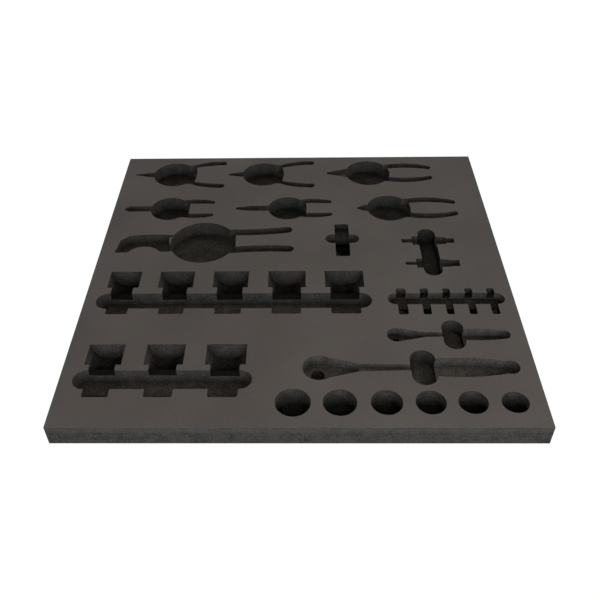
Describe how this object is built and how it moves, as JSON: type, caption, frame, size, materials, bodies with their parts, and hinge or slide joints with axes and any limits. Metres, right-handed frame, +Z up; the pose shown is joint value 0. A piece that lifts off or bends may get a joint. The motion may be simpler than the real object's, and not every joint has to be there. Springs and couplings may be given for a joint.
{
  "type": "foam tool tray",
  "caption": "Square two-layer foam drawer insert with milled pockets that hold pliers, ratchets, adapters and sockets flush with its top face.",
  "frame": {"origin": "middle of the square underside", "axes": "+Z up through the two layers, +X to the right along the front edge, +Y to the back of the drawer"},
  "size_m": [0.56, 0.56, 0.0285],
  "materials": {
    "top_foam": "matte, smooth skin",
    "base_foam": "matte, fine open cells"
  },
  "bodies": {
    "root": {"top_layer": "top_foam", "base_layer": "base_foam"}
  },
  "joints": []
}
